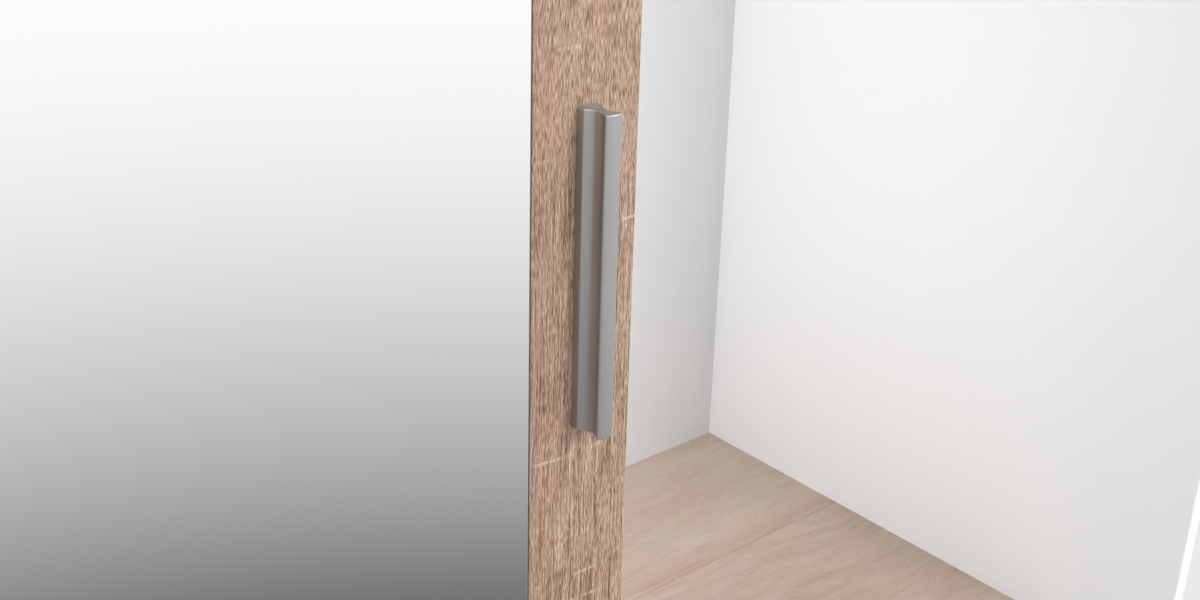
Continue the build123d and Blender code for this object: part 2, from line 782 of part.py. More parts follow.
def top_guide():
    # Plate on the door's back, a head below the channel and a rounded fin inside it
    head_top = channel_under - guide_head_gap
    head_depth = wheel_plane - door_board + guide_fin / 2
    outline = Polyline(
        (0, head_top - guide_plate_height),
        (guide_plate, head_top - guide_plate_height),
        (guide_plate, head_top - guide_head - (head_depth - guide_plate)),
        (head_depth, head_top - guide_head),
        (head_depth, head_top),
        (0, head_top),
        close=True,
    )
    shape = extrude(Plane.YZ * make_face(outline), guide_length / 2, both=True)
    fin = extrude(SlotOverall(guide_fin_length, guide_fin), fin_top - head_top)
    fin = chamfer(fin.edges().group_by(Axis.Z)[-1], small_break)
    shape += Pos(0, wheel_plane - door_board, head_top) * fin
    hole = rod((0, 0, 0), up, guide_plate, screw_radius + fitting_gap)
    for x in (-guide_screw_spacing / 2, guide_screw_spacing / 2):
        shape -= aimed((x, guide_plate, head_top - guide_screw_drop), (0, -1, 0)) * hole
    return shape


def pan_screw(plate):
    # Pan head wood screw whose head rests on a plate of the given thickness
    tip = plate + screw_length - fitting_gap
    outline = [
        (0, -handle_screw_head),
        (screw_head_radius - small_break, -handle_screw_head),
        (screw_head_radius, -handle_screw_head + small_break),
        (screw_head_radius, 0),
        (screw_radius, 0),
        (screw_radius, tip - screw_radius),
        (0, tip),
    ]
    return turned(outline, Axis.Z, Plane.XZ)


def door_pieces():
    half = door_width / 2
    to_front = (0, -1, 0)
    panel = block((-half, half), (0, door_board), (door_bottom, door_top))
    panel = fillet(panel.edges(), edge_round)
    bores = []

    # Mirror on strips of foam tape
    glass_x = half - mirror_border
    glass_z = (door_bottom + mirror_border, door_top - mirror_border)
    glass_y = (-tape_thickness - mirror_glass, -tape_thickness)
    glass = block((-glass_x, glass_x), glass_y, glass_z)
    glass = chamfer(glass.faces().sort_by(Axis.Y)[0].edges(), mirror_arris)
    strip_z = (glass_z[0] + tape_inset, glass_z[1] - tape_inset)
    strips = [
        block((x - tape_width / 2, x + tape_width / 2), (-tape_thickness, 0), strip_z)
        for x in spread(-glass_x + tape_inset, glass_x - tape_inset, tape_count)
    ]

    # Handle, held by two screws from the back
    handle_x = half - handle_inset
    handle_screws = []
    shaft = handle_screw()
    shaft_bore = rod((0, 0, 0), up, door_board, handle_screw_radius + fitting_gap)
    for z in (handle_centre - handle_screw_spacing / 2, handle_centre + handle_screw_spacing / 2):
        place = aimed((handle_x, door_board, z), to_front)
        handle_screws.append(place * shaft)
        bores.append(place * shaft_bore)

    # Rollers and guides, screwed to the back
    roller_x = half - roller_inset
    guide_x = half - guide_inset
    ear_x = wheel_radius + wheel_rim_gap + housing_side_wall + ear_length / 2
    ear_z = wheel_centre + ear_lift + ear_height / 2
    guide_z = channel_under - guide_head_gap - guide_screw_drop
    hardware_screws = []
    pilot = rod((0, 0, 0), up, screw_length, screw_radius + screw_fit)
    fixings = (
        (roller_x, ear_x, ear_z, ear_thickness),
        (guide_x, guide_screw_spacing / 2, guide_z, guide_plate),
    )
    for from_middle, reach, z, plate in fixings:
        screw = pan_screw(plate)
        for middle in (-from_middle, from_middle):
            for x in (middle - reach, middle + reach):
                hardware_screws.append(aimed((x, door_board + plate, z), to_front) * screw)
                bores.append(aimed((x, door_board, z), to_front) * pilot)
    guide = top_guide()
    housing = roller_housing()
    roller = wheel()
    pin = axle()
    found = {
        "door_board": panel - bores,
        "mirror": glass,
        "mirror_tape": Compound(strips),
        "handle": Pos(handle_x, 0, handle_centre) * door_handle(),
        "handle_screws": Compound(handle_screws),
        "axles": Compound([Pos(x, door_board, wheel_centre) * pin for x in (-roller_x, roller_x)]),
        "top_guides": Compound([Pos(x, door_board, 0) * guide for x in (-guide_x, guide_x)]),
        "hardware_screws": Compound(hardware_screws),
    }
    for end, x in (("outer", roller_x), ("inner", -roller_x)):
        found[f"{end}_roller_housing"] = Pos(x, door_board, wheel_centre) * housing
        found[f"{end}_wheel"] = Pos(x, wheel_plane, wheel_centre) * roller
    return found


for name, shape in door_pieces().items():
    pieces[f"right_{name}"] = Pos(right_door_x, front_door_y, 0) * shape
    pieces[f"left_{name}"] = Pos(left_door_x, rear_door_y, 0) * mirror(shape, Plane.YZ)

# Drill the boards and write every piece
for name, shape in boards.items():
    pieces[name] = shape - drilled[name] if drilled[name] else shape

os.makedirs("parts", exist_ok=True)
for name, shape in pieces.items():
    export_step(shape, f"parts/{name}.step")
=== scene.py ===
import json
import math
import bpy
import numpy as np
from mathutils import Matrix, Vector


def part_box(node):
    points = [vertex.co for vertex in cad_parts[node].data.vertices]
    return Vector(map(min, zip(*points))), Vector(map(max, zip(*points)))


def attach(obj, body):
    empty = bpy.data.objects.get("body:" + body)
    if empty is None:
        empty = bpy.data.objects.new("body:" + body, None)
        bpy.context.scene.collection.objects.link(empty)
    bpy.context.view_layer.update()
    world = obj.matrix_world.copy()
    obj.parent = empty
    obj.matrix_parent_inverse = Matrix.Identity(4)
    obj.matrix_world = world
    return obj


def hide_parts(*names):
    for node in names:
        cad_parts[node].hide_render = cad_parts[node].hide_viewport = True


# Looks of a two-door sliding wardrobe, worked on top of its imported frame. Metres, Z up.
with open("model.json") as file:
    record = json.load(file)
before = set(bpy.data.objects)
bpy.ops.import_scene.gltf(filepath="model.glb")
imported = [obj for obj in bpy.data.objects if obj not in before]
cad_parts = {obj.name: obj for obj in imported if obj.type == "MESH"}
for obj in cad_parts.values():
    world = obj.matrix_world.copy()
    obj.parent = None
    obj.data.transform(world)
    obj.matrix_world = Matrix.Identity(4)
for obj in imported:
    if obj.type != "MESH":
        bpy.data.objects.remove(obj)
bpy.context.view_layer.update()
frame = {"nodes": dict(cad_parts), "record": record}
nodes = frame["nodes"]
print("frame loaded with", len(nodes), "nodes")


def tone(red, green, blue):
    # Screen colour 0 to 255 into the linear values that sockets take
    screen = np.array((red, green, blue)) / 255.0
    linear = np.where(screen <= 0.04045, screen / 12.92, ((screen + 0.055) / 1.055) ** 2.4)
    return (*linear.tolist(), 1.0)


def fillRamp(ramp, stops):
    while len(ramp.elements) < len(stops):
        ramp.elements.new(1.0)
    for element, (place, colour) in zip(ramp.elements, stops):
        element.position = place
        element.color = colour


class Wire:
    # A socket that takes part in sums: every operator adds one Math node to its tree
    def __init__(self, tree, socket=None):
        self.tree = tree
        self.socket = socket

    def node(self, kind, feeds=None, out=0, **settings):
        made = self.tree.nodes.new(kind)
        for key, value in settings.items():
            if key == "stops":
                fillRamp(made.color_ramp, value)
            else:
                setattr(made, key, value)
        for key, value in (feeds or {}).items():
            if isinstance(value, Wire):
                self.tree.links.new(value.socket, made.inputs[key])
            else:
                made.inputs[key].default_value = value
        return Wire(self.tree, made.outputs[out])

    def math(self, operation, *others):
        return self.node("ShaderNodeMath", dict(enumerate((self, *others))), operation=operation)

    def __add__(self, other):
        return self.math("ADD", other)

    def __sub__(self, other):
        return self.math("SUBTRACT", other)

    def __rsub__(self, other):
        return self.node("ShaderNodeMath", {0: other, 1: self}, operation="SUBTRACT")

    def __mul__(self, other):
        return self.math("MULTIPLY", other)

    def __truediv__(self, other):
        return self.math("DIVIDE", other)

    __radd__ = __add__
    __rmul__ = __mul__

    def rise(self, low, high):
        # 0 below low, 1 above high, smooth between
        feeds = {"Value": self, "From Min": low, "From Max": high}
        return self.node("ShaderNodeMapRange", feeds, interpolation_type="SMOOTHSTEP")

    def apart(self):
        return [self.node("ShaderNodeSeparateXYZ", {0: self}, out=i) for i in range(3)]

    def noise(self, detail=2.0, roughness=0.5):
        feeds = {"Vector": self, "Scale": 1.0, "Detail": detail, "Roughness": roughness}
        return self.node("ShaderNodeTexNoise", feeds)

    def draw(self):
        # A number from 0 to 1 drawn for each whole value
        return self.node("ShaderNodeTexWhiteNoise", {"W": self}, noise_dimensions="1D")

    def bump(self, strength, distance):
        return self.node("ShaderNodeBump", {"Height": self, "Strength": strength, "Distance": distance})


def together(x, y, z):
    wire = next(value for value in (x, y, z) if isinstance(value, Wire))
    return wire.node("ShaderNodeCombineXYZ", {0: x, 1: y, 2: z})


def mixed(factor, first, second):
    return factor.node("ShaderNodeMix", {0: factor, 6: first, 7: second}, out=2, data_type="RGBA")


class Finish:
    # A material with one Principled shader
    def __init__(self, name, fixed=None):
        self.material = bpy.data.materials.new(name)
        self.material.use_nodes = True
        self.tree = self.material.node_tree
        self.tree.nodes.clear()
        self.shader = self.tree.nodes.new("ShaderNodeBsdfPrincipled")
        output = self.tree.nodes.new("ShaderNodeOutputMaterial")
        self.tree.links.new(self.shader.outputs[0], output.inputs[0])
        self.set(fixed or {})
        self.wire = Wire(self.tree)
        self.place = self.wire.node("ShaderNodeTexCoord", out="Object")
        self.x, self.y, self.z = self.place.apart()

    def set(self, feeds):
        for name, value in feeds.items():
            socket = self.shader.inputs[name]
            if isinstance(value, Wire):
                self.tree.links.new(value.socket, socket)
            else:
                socket.default_value = value

    def scaled(self, x, y, z):
        return together(self.x * x, self.y * y, self.z * z)

    def facing(self):
        return self.wire.node("ShaderNodeNewGeometry", out="Normal").apart()


# Saw-rough oak decor: grain along one axis that sways and fans, growth rings that arch over
# each plank, short flecks and longer streaks, and pale marks left across it by the saw.
oak = {
    "skew": 0.61,            # shifts the grain from one face of a board to the next
    "ringSlope": 9.0,        # rings met per metre along a plank's middle line
    "ringArch": 22.0,        # how far the rings arch from the middle to the edges
    "ringSpread": 9.0,       # how many rings planks differ by
    "ringTone": 0.06,
    "sway": 0.011,
    "swayScale": (11.0, 2.6),            # noise cells per metre, across and along the grain
    "wiggle": 0.0018,
    "wiggleScale": (60.0, 30.0),
    "fan": 0.26,             # how far the grain spreads and closes along a plank
    "fanScale": 9.0,
    "fleckWidth": 0.0005,
    "fleckLength": 0.0055,
    "streakWidth": 0.0009,
    "streakLength": 0.045,
    "runOut": 1.14,          # a place along the grain where it runs out of the face, with few streaks
    "runOutPitch": 0.5,
    "cloudScale": (110.0, 14.0),
    "driftScale": (16.0, 2.4),
    "castScale": (55.0, 14.0),
    "redder": (1.01, 0.97, 0.945, 1.0),  # what the redder patches multiply by
    "seam": (148, 112, 92),
    "sawPitch": 0.047,
    "sawSlant": 0.012,
    "sawStrength": 0.65,
    "sawMark": (214, 192, 175),
    "heart": (170, 132, 114),
    "heartWidth": 0.035,
    "roughness": 0.52,
}
uprightOak = {
    "name": "oak_upright",
    "grain": "Z",
    "plank": 0.142,
    "middle": 0.035,         # a plank's middle line, metres from the origin
    "tones": [(103, 75, 53), (144, 116, 94), (174, 147, 127), (196, 170, 151), (219, 197, 180)],
    "contrast": 1.2,
    "weights": (1.2, 1.2, 0.15, 0.25),    # flecks, streaks, clouds, drift
    "planks": 0.12,          # how far planks differ in tone
    "firstPlank": 0,
    "joint": 0.25,
    "heart": 0.35,           # redder wood beside a joint
}
# Level boards: the same decor in a paler palette than the upright boards, painted sheen and painted light
# standing for the gloss and brighter light that level boards catch
levelOakPaintedSheen = {
    "name": "oak_level_painted_sheen",
    "grain": "X",
    "plank": 0.30,
    "middle": 0.222,
    "tones": [(144, 121, 104), (177, 155, 139), (192, 172, 157), (202, 184, 171), (214, 200, 188)],
    "contrast": 0.64,
    "weights": (0.6, 0.8, 0.6, 0.5),
    "planks": 0.35,
    "firstPlank": 1,
    "joint": 0.2,
    "heart": 0.6,
}


def oakDecor(board):
    finish = Finish(board["name"], {"Specular IOR Level": 0.35})
    x, y, z = finish.x, finish.y, finish.z
    along, across = (z, x + y * oak["skew"]) if board["grain"] == "Z" else (x, y + z * oak["skew"])

    def grainNoise(side, scale, layer, detail=1.0):
        # The layer only keeps one noise apart from the others
        return together(side * scale[0], along * scale[1], layer).noise(detail)

    sway = grainNoise(across, oak["swayScale"], 4.7) - 0.5
    wiggle = grainNoise(across, oak["wiggleScale"], 8.1) - 0.5
    fan = together(along * oak["fanScale"], 3.3, 0.6).noise(1.0) - 0.5
    swayed = across + sway * oak["sway"]
    plank = (swayed - board["middle"]) / board["plank"] + 0.5
    number = plank.math("FLOOR")
    offset = plank - number - 0.5
    chance = (number + board["firstPlank"]).draw()
    bent = swayed + wiggle * oak["wiggle"] + offset * fan * (board["plank"] * oak["fan"])
    ring = along * oak["ringSlope"] + offset * offset * oak["ringArch"]
    ring = ring + chance * oak["ringSpread"] + sway * 1.6
    growth = (ring * (2 * math.pi)).math("SINE") * 0.5 + 0.5
    seed = number * 5.3
    # Where the grain runs out of the face, the streaks give way to flecks
    runOut = (along + sway * 0.06 - oak["runOut"]) * (2 * math.pi / oak["runOutPitch"])
    runOut = runOut.math("COSINE").rise(0.3, 0.9)
    depth = growth * 0.4 + seed
    flecks = together(bent / oak["fleckWidth"], along / oak["fleckLength"], depth).noise(1.0, 0.6)
    flecks = (flecks - 0.5) * (1 + runOut * 0.3)
    streaks = together(bent / oak["streakWidth"], along / oak["streakLength"], seed + 7.3).noise(1.0, 0.6)
    streaks = (streaks - 0.5) * (1 - runOut * 0.75)
    clouds = grainNoise(bent, oak["cloudScale"], seed + 2.2, 2.0) - 0.5
    drift = grainNoise(bent, oak["driftScale"], seed + 6.1) - 0.5
    parts = zip((flecks, streaks, clouds, drift), board["weights"])
    value = sum(part * weight for part, weight in parts)
    value = value + (growth - 0.5) * oak["ringTone"] + (chance - 0.5) * board["planks"]
    shade = (value * board["contrast"] + 0.5).math("MINIMUM", 1.0).math("MAXIMUM", 0.0)
    places = (0.0, 0.28, 0.5, 0.72, 1.0)
    stops = [(place, tone(*colour)) for place, colour in zip(places, board["tones"])]
    colour = shade.node("ShaderNodeValToRGB", {"Fac": shade}, stops=stops)

    # A redder and a greyer cast in patches, and a dark line where two planks meet
    cast = grainNoise(bent, oak["castScale"], 3.9, 2.0)
    redder = colour.node("ShaderNodeMix", {0: 1.0, 6: colour, 7: oak["redder"]}, out=2,
                         data_type="RGBA", blend_type="MULTIPLY")
    colour = mixed(cast.rise(0.48, 0.68), colour, redder)
    beside = 1 - (offset + 0.5).rise(0.0, oak["heartWidth"] / board["plank"])
    heart = beside * clouds.rise(-0.25, 0.15) * board["heart"]
    colour = mixed(heart, colour, tone(*oak["heart"]))
    seam = ((0.5 - offset.math("ABSOLUTE")) * board["plank"]).rise(0.0006, 0.003)
    colour = mixed((1 - seam) * board["joint"], colour, tone(*oak["seam"]))

    # Saw marks: one chance of a line per step along the grain, broken up across it
    slant = together(across * 14.0, along * 2.0, 1.3).noise(1.0) * oak["sawSlant"]
    step = (along + slant) / oak["sawPitch"]
    row = step.math("FLOOR")
    line = 1 - (step - row - (row.draw() * 0.8 + 0.1)).math("ABSOLUTE").rise(0.004, 0.034)
    pieces = together(across * 62.0, row * 3.7, 0.5).noise(1.0).rise(0.52, 0.66)
    fibre = together(across * 800.0, along * 160.0, 5.1).noise(1.0).rise(0.25, 0.65)
    mark = line * pieces * fibre * (oak["sawStrength"] * board["contrast"])
    colour = mixed(mark, colour, tone(*oak["sawMark"]))
    finish.set({
        "Base Color": colour,
        "Roughness": oak["roughness"] + (0.5 - shade) * 0.16,
        "Normal": (shade * 0.8 + mark * 0.5).bump(0.3, 0.0004),
    })
    return finish.material


# White laminate: a fine pearl grain under the fingers and hardly any in the colour
def whiteLaminate():
    finish = Finish("white_laminate", {"Specular IOR Level": 0.4})
    cloud = finish.scaled(3.0, 3.0, 3.0).noise(2.0)
    pearl = finish.scaled(900.0, 900.0, 900.0).noise(2.0)
    finish.set({
        "Base Color": mixed(cloud, tone(245, 248, 250), tone(248, 250, 252)),
        "Roughness": 0.36 + pearl * 0.14,
        "Normal": pearl.bump(0.12, 0.0002),
    })
    return finish.material


# Hardboard: lacquered white inside, bare brown fibre with a wire-screen print outside
def backHardboard():
    finish = Finish("back_hardboard", {"Specular IOR Level": 0.3})
    outside = finish.facing()[1].rise(0.3, 0.6)
    fibre = finish.scaled(260.0, 260.0, 420.0).noise(4.0, 0.65)
    blotch = finish.scaled(6.0, 1.0, 6.0).noise(3.0)
    screen = (finish.x * 3700.0).math("SINE") * (finish.z * 3700.0).math("SINE")
    bare = mixed(fibre.rise(0.3, 0.7), tone(148, 112, 78), tone(174, 137, 99))
    bare = mixed(blotch.rise(0.35, 0.7) * 0.16, bare, tone(118, 86, 58))
    white = mixed(blotch, tone(208, 209, 210), tone(212, 213, 214))
    grain = finish.scaled(700.0, 1.0, 700.0).noise(2.0)
    finish.set({
        "Base Color": mixed(outside, white, bare),
        "Roughness": 0.42 + grain * 0.12 + outside * 0.36,
        "Normal": (grain * 0.35 + (screen * 0.7 + fibre) * outside).bump(0.25, 0.0003),
    })
    return finish.material


# Silvered glass: a clean mirror in front; round it the ground edge shows through the glass as a dark line,
# darkened further as painted shade and a painted dark reflection of the glass's edge; and a painted back
mirror = {
    "silver": (254, 254, 254),
    "edge": (72, 66, 60),
    "edgeWidth": 0.0016,
    "paint": (96, 92, 86),
}


def mirrorGlass(node):
    low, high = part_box(node)
    finish = Finish(node + "_silver")
    front = finish.facing()[1]
    insideX = (high.x - low.x) / 2 - mirror["edgeWidth"]
    insideZ = (high.z - low.z) / 2 - mirror["edgeWidth"]
    fromX = (finish.x - (low.x + high.x) / 2).math("ABSOLUTE") - insideX
    fromZ = (finish.z - (low.z + high.z) / 2).math("ABSOLUTE") - insideZ
    # The edge band: the real ground edge, darkened as painted shade and painted reflection
    edge = fromX.math("MAXIMUM", fromZ).rise(-0.0003, 0.0002)
    silver = (front * -1).rise(0.93, 0.97) * (1 - edge)
    back = front.rise(0.6, 0.9)
    frost = finish.scaled(1500.0, 1500.0, 1500.0).noise(1.0)
    dull = mixed(back, tone(*mirror["edge"]), tone(*mirror["paint"]))
    finish.set({
        "Base Color": mixed(silver, dull, tone(*mirror["silver"])),
        "Metallic": silver,
        "Roughness": (1 - silver) * (0.32 + frost * 0.2),
    })
    return finish.material


# The tracks and the rail share one recipe: faint lines drawn out along an axis
def drawnMetal(name, colour, along, roughness, metallic, lines, crest=None):
    finish = Finish(name)
    fine, slow = 2600.0, 22.0
    line = finish.scaled(*(slow if axis == along else fine for axis in "XYZ")).noise(2.0, 0.6)
    cloud = finish.scaled(9.0, 9.0, 9.0).noise(2.0)
    dim = tuple(value * 0.90 for value in tone(*colour)[:3]) + (1.0,)
    shade = mixed(line.rise(0.25, 0.75), dim, tone(*colour))
    grain = roughness + (line - 0.5) * lines + (cloud - 0.5) * 0.05
    if crest:
        # Polished where wheels have run, near the given height
        worn = finish.z.rise(crest - 0.0014, crest - 0.0003)
        shade = mixed(worn, shade, tone(226, 226, 225))
        grain = grain * (1 - worn * 0.55)
    finish.set({
        "Base Color": shade,
        "Metallic": metallic,
        "Roughness": grain,
        "Normal": line.bump(0.08, 0.0001),
    })
    return finish.material


# Satin handle: brushed round its section, so that what it mirrors is drawn out up and down, with a smoother
# polish and a painted highlight, a paler colour, on the rounding of both ends
def satinHandle():
    finish = Finish("satin_handle", {"Metallic": 0.8, "Anisotropic": 0.78, "Anisotropic Rotation": 0.25})
    line = finish.scaled(22.0, 22.0, 2600.0).noise(2.0, 0.6)
    cloud = finish.scaled(9.0, 9.0, 40.0).noise(2.0)
    upward = finish.facing()[2].math("ABSOLUTE")
    endPolishPaintedHighlight = upward.rise(0.15, 0.4) * (1 - upward.rise(0.82, 0.97))
    shade = mixed(line.rise(0.25, 0.75), tone(179, 179, 178), tone(185, 185, 184))
    finish.set({
        # Painted highlight: the end rounding is given a paler base colour
        "Base Color": mixed(endPolishPaintedHighlight, shade, tone(218, 218, 217)),
        "Roughness": (0.45 + (line - 0.5) * 0.05 + (cloud - 0.5) * 0.06) * (1 - endPolishPaintedHighlight * 0.25),
        "Normal": line.bump(0.035, 0.0001),
    })
    return finish.material


# Zinc plate: a grey-blue film with warmer clouds and a fine tumbled grain
def zincPlate():
    finish = Finish("zinc_fixing", {"Metallic": 1.0})
    cloud = finish.scaled(190.0, 190.0, 190.0).noise(2.0)
    tumble = finish.scaled(2400.0, 2400.0, 2400.0).noise(2.0)
    finish.set({
        "Base Color": mixed(cloud.rise(0.3, 0.7), tone(186, 191, 199), tone(208, 206, 198)),
        "Roughness": 0.24 + tumble * 0.14,
        "Normal": tumble.bump(0.1, 0.0001),
    })
    return finish.material


# Plastics share one recipe: fine spark-eroded grain and a slight cloudiness
def mouldedPlastic(name, dark, pale, roughness, grain):
    finish = Finish(name, {"Specular IOR Level": 0.45})
    cloud = finish.scaled(40.0, 40.0, 40.0).noise(3.0)
    pit = finish.scaled(grain, grain, grain).noise(2.0)
    finish.set({
        "Base Color": mixed(cloud, tone(*dark), tone(*pale)),
        "Roughness": roughness + (pit - 0.5) * 0.2,
        "Normal": pit.bump(0.2, 0.0002),
    })
    return finish.material


# Bare beech: short flecks along the dowel
def bareBeech():
    finish = Finish("bare_beech", {"Specular IOR Level": 0.3})
    fleck = finish.scaled(420.0, 420.0, 420.0).noise(3.0, 0.6)
    finish.set({
        "Base Color": mixed(fleck.rise(0.3, 0.7), tone(196, 152, 110), tone(222, 184, 142)),
        "Roughness": 0.6 + fleck * 0.15,
        "Normal": fleck.bump(0.25, 0.0002),
    })
    return finish.material


finishes = {
    "white_board": whiteLaminate(),
    "oak_board": oakDecor(levelOakPaintedSheen),
    "back_board": backHardboard(),
    "mirror_tape": mouldedPlastic("foam_tape", (196, 196, 194), (210, 210, 208), 0.8, 1200.0),
    "handle_metal": satinHandle(),
    "track_metal": drawnMetal("anodised_track", (200, 200, 199), "X", 0.32, 0.9, 0.2),
    "rail_chrome": drawnMetal("chromed_rail", (214, 215, 217), "X", 0.09, 1.0, 0.05),
    "wheel_nylon": mouldedPlastic("natural_nylon", (226, 223, 212), (236, 233, 224), 0.38, 700.0),
    "housing_plastic": mouldedPlastic("grey_housing", (92, 93, 95), (104, 105, 107), 0.5, 900.0),
    "bumper_rubber": mouldedPlastic("pale_rubber", (196, 197, 196), (208, 209, 208), 0.6, 600.0),
    "glide_plastic": mouldedPlastic("brown_glide", (72, 58, 48), (84, 69, 58), 0.48, 800.0),
    "fixing_steel": zincPlate(),
    "dowel_beech": bareBeech(),
}
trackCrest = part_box("bottom_track")[1].z
ownFinishes = {
    "right_door_board": oakDecor(uprightOak),
    "right_mirror": mirrorGlass("right_mirror"),
    "left_mirror": mirrorGlass("left_mirror"),
    "bottom_track": drawnMetal("worn_track", (200, 200, 199), "X", 0.32, 0.9, 0.2, trackCrest),
}
ownFinishes["left_door_board"] = ownFinishes["right_door_board"]
for row in frame["record"]["subparts"]:
    finish = ownFinishes.get(row["node"]) or finishes[row["material_slot"]]
    nodes[row["node"]].material_slots[0].material = finish
print("finishes set:", len(finishes) + len(ownFinishes) - 1)


# Turned hardware: rows of (radius, height) in millimetres carried round an axis and closed at both
# ends. With a cross recess the columns of the head follow the edges of four arms, at the angle
# whose sine is the arm's half width over the radius, and the columns inside the arms sink.
screwCross = {"halfWidth": 0.45, "reach": 2.2, "depth": 1.5, "wall": 0.14}
countersunkScrew = [(0.3, 0), (0.62, 0), (0.69, 0), (1.3, 0), (2.15, 0), (2.3, 0), (2.9, 0), (3.3, 0),
                    (3.4, -0.1), (1.75, -1.7), (1.75, -11.2), (0.5, -12.5)]
panHead = [(0.3, 2.5), (0.62, 2.48), (0.69, 2.47), (1.3, 2.4), (2.15, 2.2), (2.3, 2.15), (2.9, 1.85),
           (3.25, 1.45), (3.4, 1.0), (3.4, 0)]
boltHead = [(0.3, 2.5), (0.62, 2.48), (0.69, 2.47), (1.3, 2.42), (2.15, 2.28), (2.3, 2.25), (3.1, 1.95),
            (3.7, 1.5), (4.0, 0.9), (4.0, 0)]
earScrew = panHead + [(1.75, 0), (1.75, -15.9), (0.5, -17.2)]
guideScrew = panHead + [(1.75, 0), (1.75, -14.9), (0.5, -16.2)]
handleScrew = boltHead + [(2.0, 0), (2.0, -21.6), (1.6, -22.0)]
nail = [(0.7, 0.55), (1.6, 0.46), (2.1, 0.22), (2.2, 0), (0.75, 0), (0.75, -2.6)]


def turnedGrid(rows, columns, cross):
    radius, height = np.array(rows, float).T[:, :, None]
    count = np.arange(columns)
    angle = np.broadcast_to(count * (2 * np.pi / columns), (len(rows), columns))
    sunk = np.zeros_like(angle)
    if cross:
        step = count % 8 - 4
        size = np.abs(step)
        corner = np.pi / 4
        middle = cross["halfWidth"] * math.sqrt(2)
        arm = np.arcsin(np.minimum(cross["halfWidth"] / radius, math.sin(corner)))
        wall = np.minimum(arm + cross["wall"], corner * 0.98)
        choices = [np.zeros_like(arm), arm, wall, (wall + corner) / 2]
        edged = np.select([size == i for i in range(4)], choices, corner) * np.sign(step)
        even = step * (corner / 4)
        reach = cross["reach"]
        blend = np.interp(radius, [middle, middle * 1.05, reach * 1.1, reach * 1.4], [1, 0, 0, 1])
        angle = edged + (even - edged) * blend + (count // 8 * 2 + 1) * corner
        inside = (radius < reach) & ((size < 2) | (radius < middle))
        sunk = np.where(inside, cross["depth"] * (1 - 0.55 * radius / reach), 0)
    x, y = radius * np.cos(angle), radius * np.sin(angle)
    return np.stack([x, y, height - sunk], -1)


def turnedSet(rows, places, aims, columns=32, cross=None):
    # Copies of a turned shape, each at a place with its head towards an aim and its own roll
    grid = turnedGrid(rows, columns, cross)
    top = rows[0][1] - (cross["depth"] if cross else 0)
    poles = [(0, 0, top), (0, 0, rows[-1][1] - 0.4)]
    local = np.concatenate([grid.reshape(-1, 3), poles]) * 0.001
    places, aims = np.array(places, float), np.array(aims, float)
    helper = np.where(np.abs(aims[:, 2:]) > 0.9, (1.0, 0, 0), (0, 0, 1.0))
    first = np.cross(helper, aims)
    second = np.cross(aims, first)
    roll = np.random.default_rng(7).uniform(0, np.pi, (len(places), 1))
    turn = np.stack([first * np.cos(roll) + second * np.sin(roll),
                     second * np.cos(roll) - first * np.sin(roll), aims], 1)
    points = places[:, None, :] + local @ turn
    row, column = np.meshgrid(np.arange(len(rows) - 1), np.arange(columns), indexing="ij")
    after = (column + 1) % columns
    low, high = row * columns, (row + 1) * columns
    quads = np.stack([low + column, high + column, high + after, low + after], -1).reshape(-1, 4)
    column, after = column[0], after[0]
    last = (len(rows) - 1) * columns
    pole = np.full(columns, len(rows) * columns)
    fans = np.concatenate([np.stack([pole, column, after], -1),
                           np.stack([pole + 1, last + after, last + column], -1)])
    shift = (np.arange(len(places)) * len(local))[:, None, None]
    return points.reshape(-1, 3), (quads + shift).reshape(-1, 4), (fans + shift).reshape(-1, 3)


def addHardware(name, body, sets, replaced=None):
    points, faces, start = [], [], 0
    for found, quads, fans in sets:
        points.append(found)
        faces += (quads + start).tolist() + (fans + start).tolist()
        start += len(found)
    mesh = bpy.data.meshes.new(name)
    mesh.from_pydata(np.concatenate(points).tolist(), [], faces)
    mesh.shade_smooth()
    mesh.set_sharp_from_angle(angle=math.radians(32))
    mesh.materials.append(finishes["fixing_steel"])
    piece = bpy.data.objects.new(name, mesh)
    bpy.context.scene.collection.objects.link(piece)
    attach(piece, body)
    if replaced:
        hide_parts(replaced)


def middleOf(node):
    low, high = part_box(node)
    return (low + high) / 2


# Where the screws stand: head centres in metres, read from the pieces that they hold
headRadius = 0.0034
screwLength = 0.013
bracketScrews = 0.012        # from a wall bracket's middle
low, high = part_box("track_screws")
trackX = np.linspace(low.x + headRadius, high.x - headRadius, 5)
trackY = (low.y + high.y) / 2
places = [(x, trackY, z) for z in (low.z + screwLength, high.z - screwLength) for x in trackX]
aims = [(0, 0, 1)] * 5 + [(0, 0, -1)] * 5
addHardware("track_screw_set", "carcass", [turnedSet(countersunkScrew, places, aims, cross=screwCross)],
            "track_screws")

low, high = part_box("rail_socket_screws")
socketY = (low.y + high.y) / 2
ends = ((low.x + screwLength, (1, 0, 0)), (high.x - screwLength, (-1, 0, 0)))
places = [(x, socketY, z) for x, _ in ends for z in (low.z + headRadius, high.z - headRadius)]
aims = [aim for _, aim in ends for _ in range(2)]
addHardware("rail_socket_screw_set", "carcass", [turnedSet(countersunkScrew, places, aims, cross=screwCross)],
            "rail_socket_screws")

low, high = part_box("wall_bracket_screws")
bracketY = (low.y + high.y) / 2
places = [(middleOf(side + "_wall_bracket").x + step * bracketScrews, bracketY, high.z)
          for side in ("left", "right") for step in (-1, 1)]
addHardware("wall_bracket_screw_set", "carcass",
            [turnedSet(countersunkScrew, places, [(0, 0, 1)] * 4, cross=screwCross)], "wall_bracket_screws")

